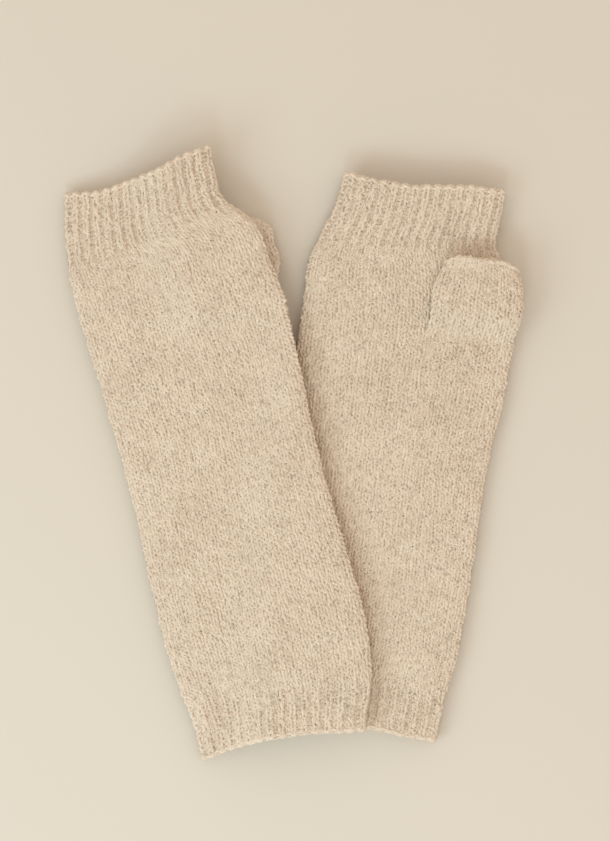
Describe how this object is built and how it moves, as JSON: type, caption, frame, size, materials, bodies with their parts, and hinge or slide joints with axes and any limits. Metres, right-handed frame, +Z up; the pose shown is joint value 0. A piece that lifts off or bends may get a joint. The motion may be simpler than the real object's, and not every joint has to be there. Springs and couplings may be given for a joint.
{
  "type": "fingerless gloves",
  "caption": "Pair of long knitted fingerless gloves, each a tube with ribbed cuffs at the arm and fingers and a short open thumb sleeve, laid flat with the left glove across the right.",
  "frame": {"origin": "centre of the pair's plan, on the surface it lies on", "axes": "+Y from the arm ends towards the finger ends, +X to the right seen from above, +Z up"},
  "size_m": [0.2304, 0.3059, 0.0234],
  "materials": {
    "plain_knit": "soft cream wool blend yarn, plain knitting",
    "rib_knit": "the same yarn in one by one rib",
    "edge_yarn": "the same yarn in cast-on, cast-off and picked-up rounds"
  },
  "bodies": {
    "right_glove": {"right_arm_cast_on": "edge_yarn", "right_arm_cuff": "rib_knit", "right_hand_tube": "plain_knit", "right_finger_cuff": "rib_knit", "right_finger_cast_off": "edge_yarn", "right_thumb_join": "edge_yarn"},
    "right_thumb": {"right_thumb_sleeve": "plain_knit", "right_thumb_cast_off": "edge_yarn"},
    "left_glove": {"left_arm_cast_on": "edge_yarn", "left_arm_cuff": "rib_knit", "left_hand_tube": "plain_knit", "left_finger_cuff": "rib_knit", "left_finger_cast_off": "edge_yarn", "left_thumb_join": "edge_yarn"},
    "left_thumb": {"left_thumb_sleeve": "plain_knit", "left_thumb_cast_off": "edge_yarn"}
  },
  "joints": [
    {"name": "left_glove_lift", "type": "slide", "parent": "right_glove", "child": "left_glove", "axis": [0, 0, 1], "range_m": [0, 0.12]},
    {"name": "right_thumb_swing", "type": "hinge", "parent": "right_glove", "child": "right_thumb", "pos_m": [0.08997, 0.05915, 0.0105], "axis": [0.991, -0.134, 0], "range_deg": [0, 90]},
    {"name": "left_thumb_swing", "type": "hinge", "parent": "left_glove", "child": "left_thumb", "pos_m": [-0.0254, 0.08335, 0.0091], "axis": [-0.9686, -0.2487, 0], "range_deg": [0, 90]}
  ]
}
